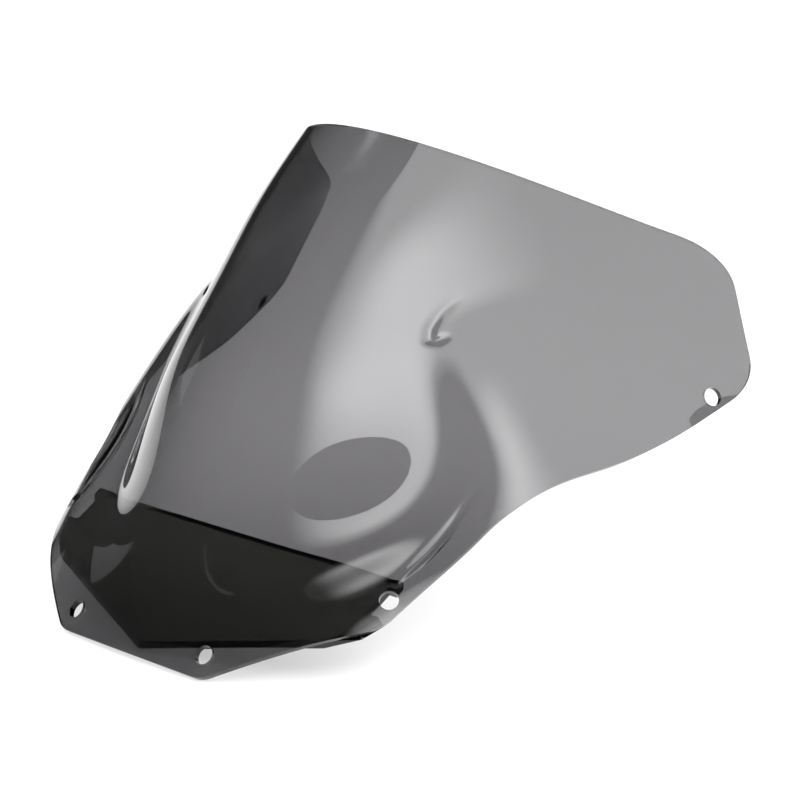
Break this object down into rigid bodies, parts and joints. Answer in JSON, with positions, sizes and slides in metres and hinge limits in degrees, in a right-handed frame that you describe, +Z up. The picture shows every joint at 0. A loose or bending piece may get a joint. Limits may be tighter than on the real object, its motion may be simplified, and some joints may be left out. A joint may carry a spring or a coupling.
{
  "type": "motorcycle windshield screen",
  "caption": "Smoked double-bubble screen that seats on a motorcycle's upper fairing by screw holes near its edge, with a flat panel bonded inside its nose.",
  "frame": {"origin": "midway between the two nose screw holes, on the shell's outer face", "axes": "+X to the rider's right across the screen, +Y rearwards, +Z up"},
  "size_m": [0.3306, 0.2674, 0.2324],
  "materials": {
    "smoked_shell": "clear smoke tint, polished",
    "smoked_panel": "clear smoke tint, slightly green, polished"
  },
  "bodies": {
    "root": {"screen_shell": "smoked_shell", "nose_inner_panel": "smoked_panel"}
  },
  "joints": []
}
